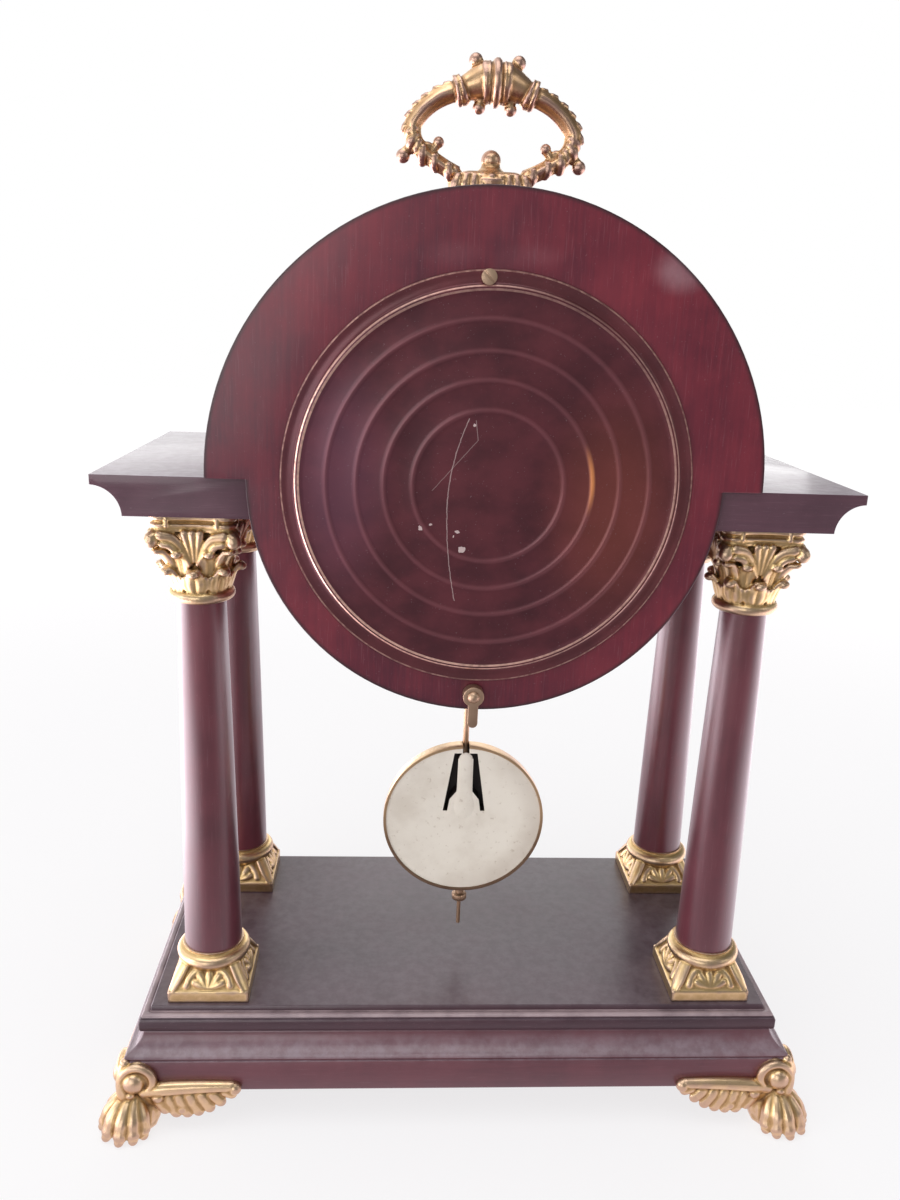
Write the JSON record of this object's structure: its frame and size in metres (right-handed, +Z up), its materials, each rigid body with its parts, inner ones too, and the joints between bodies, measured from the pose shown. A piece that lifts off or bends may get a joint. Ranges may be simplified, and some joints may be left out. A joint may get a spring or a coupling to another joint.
{
  "type": "mantel pendulum clock",
  "caption": "Mantel clock with a drum case on columned shelves, a moulded base on paw feet, a loop handle, a round dust cover and a hanging pendulum.",
  "frame": {"origin": "middle of the footprint, on the surface the clock stands on", "axes": "+Z up, -Y is the dial side, +Y is the side with the dust cover, +X is to the right of someone who faces the dial"},
  "size_m": [0.2458, 0.1328, 0.3468],
  "materials": {
    "case_wood": "satin lacquer over mahogany-stained wood, dusty in the coves",
    "base_wood": "dark glossy lacquer",
    "gilt": "old gilding on cast metal, darker in the hollows",
    "handle_gilt": "worn bronze-gold gilding",
    "brass": "aged brass",
    "steel": "plain steel",
    "spring_steel": "blued spring steel",
    "blued_steel": "blue-black hands",
    "dial_enamel": "cream enamel with plain numerals",
    "clear_glass": "clear crystal",
    "cover_lacquer": "dark red-brown lacquer over copper, scratched",
    "bob_paint": "off-white paint on the back, brass skin on the rim and front",
    "rod_copper": "copper-brown rod"
  },
  "bodies": {
    "case": {"base_plinth": "case_wood", "base_top": "base_wood", "foot_back_left": "gilt", "foot_back_right": "gilt", "foot_front_left": "gilt", "foot_front_right": "gilt", "foot_screws": "steel", "column_back_left": "case_wood", "column_back_right": "case_wood", "column_front_left": "case_wood", "column_front_right": "case_wood", "capital_back_left": "gilt", "capital_back_right": "gilt", "capital_front_left": "gilt", "capital_front_right": "gilt", "column_base_back_left": "gilt", "column_base_back_right": "gilt", "column_base_front_left": "gilt", "column_base_front_right": "gilt", "tie_bolts": "steel", "shelf_left": "case_wood", "shelf_right": "case_wood", "drum_shell": "case_wood", "back_board": "case_wood", "front_board": "case_wood", "handle": "handle_gilt", "handle_nuts": "steel", "cover_screw": "brass", "button_screw": "brass", "bezel_leaf": "brass", "hinge_pin": "steel", "dial": "dial_enamel", "back_plate": "brass", "front_plate": "brass", "movement_screws": "steel", "click_spring": "spring_steel", "suspension_cock": "brass", "suspension_spring": "spring_steel"},
    "minute_train": {"centre_wheel": "brass", "minute_hand": "blued_steel", "hand_nut": "brass"},
    "hour_train": {"hour_wheel": "brass", "hour_hand": "blued_steel"},
    "motion_train": {"motion_wheel": "brass"},
    "third_train": {"third_wheel": "brass"},
    "escape_train": {"escape_wheel": "brass"},
    "intermediate_train": {"intermediate_wheel": "brass"},
    "going_barrel": {"barrel": "brass", "barrel_cap": "brass", "mainspring": "spring_steel"},
    "winding_arbor": {"barrel_arbor": "steel"},
    "click_lever": {"click": "steel"},
    "anchor_arbor": {"anchor": "steel"},
    "pendulum": {"pendulum_rod": "rod_copper"},
    "bob_slide_body": {"bob": "bob_paint"},
    "rating_nut_body": {"rating_nut": "brass"},
    "cover": {"dust_cover": "cover_lacquer"},
    "button": {"turn_button": "brass"},
    "bezel_door": {"bezel": "brass", "glass": "clear_glass"}
  },
  "joints": [
    {"name": "minute_turn", "type": "hinge", "parent": "case", "child": "minute_train", "pos_m": [0, -0.03, 0.2224], "axis": [0, 1, 0], "continuous": true},
    {"name": "hour_turn", "type": "hinge", "parent": "case", "child": "hour_train", "pos_m": [0, -0.047, 0.2224], "axis": [0, 1, 0], "continuous": true},
    {"name": "motion_turn", "type": "hinge", "parent": "case", "child": "motion_train", "pos_m": [-0.012, -0.046, 0.2224], "axis": [0, 1, 0], "continuous": true},
    {"name": "third_turn", "type": "hinge", "parent": "case", "child": "third_train", "pos_m": [0.02, -0.016, 0.2362], "axis": [0, 1, 0], "continuous": true},
    {"name": "escape_turn", "type": "hinge", "parent": "case", "child": "escape_train", "pos_m": [0.01628, -0.026, 0.2534], "axis": [0, 1, 0], "continuous": true},
    {"name": "intermediate_turn", "type": "hinge", "parent": "case", "child": "intermediate_train", "pos_m": [-0.0226, -0.02, 0.21125], "axis": [0, 1, 0], "continuous": true},
    {"name": "barrel_turn", "type": "hinge", "parent": "case", "child": "going_barrel", "pos_m": [0, -0.02, 0.1934], "axis": [0, 1, 0], "continuous": true},
    {"name": "winding_turn", "type": "hinge", "parent": "case", "child": "winding_arbor", "pos_m": [0, -0.045, 0.1934], "axis": [0, 1, 0], "continuous": true},
    {"name": "click_lift", "type": "hinge", "parent": "case", "child": "click_lever", "pos_m": [-0.01369, 0.001, 0.20068], "axis": [0, -1, 0], "range_deg": [0, 15]},
    {"name": "pendulum_swing", "type": "hinge", "parent": "case", "child": "pendulum", "pos_m": [0, 0.013, 0.2534], "axis": [0, 1, 0], "range_deg": [-5, 5]},
    {"name": "anchor_rock", "type": "hinge", "parent": "case", "child": "anchor_arbor", "pos_m": [0, -0.02, 0.2534], "axis": [0, 1, 0], "range_deg": [-5, 5]},
    {"name": "bob_height", "type": "slide", "parent": "pendulum", "child": "bob_slide_body", "axis": [0, 0, 1], "range_m": [-0.002, 0.002]},
    {"name": "rating_nut_turn", "type": "hinge", "parent": "bob_slide_body", "child": "rating_nut_body", "pos_m": [0, 0.013, 0.0634], "axis": [0, 0, 1], "range_deg": [-1800, 1800]},
    {"name": "cover_swing", "type": "hinge", "parent": "case", "child": "cover", "pos_m": [0.0024, 0.052, 0.2802], "axis": [0, 1, 0], "range_deg": [-100, 100]},
    {"name": "button_turn", "type": "hinge", "parent": "case", "child": "button", "pos_m": [0.0016, 0.054, 0.158], "axis": [0, 1, 0], "continuous": true},
    {"name": "bezel_open", "type": "hinge", "parent": "case", "child": "bezel_door", "pos_m": [0.0688, -0.06, 0.2339], "axis": [0, 0, 1], "range_deg": [0, 105]}
  ],
  "couplings": [
    {"joint": "hour_turn", "follows": "minute_turn", "ratio": 0.083333},
    {"joint": "motion_turn", "follows": "minute_turn", "ratio": -0.33333},
    {"joint": "third_turn", "follows": "minute_turn", "ratio": -12.5},
    {"joint": "escape_turn", "follows": "minute_turn", "ratio": 125},
    {"joint": "intermediate_turn", "follows": "minute_turn", "ratio": -0.16667},
    {"joint": "barrel_turn", "follows": "minute_turn", "ratio": 0.02381},
    {"joint": "anchor_rock", "follows": "pendulum_swing", "ratio": 1},
    {"joint": "rating_nut_turn", "follows": "bob_height", "rad_per_m": 15708}
  ]
}
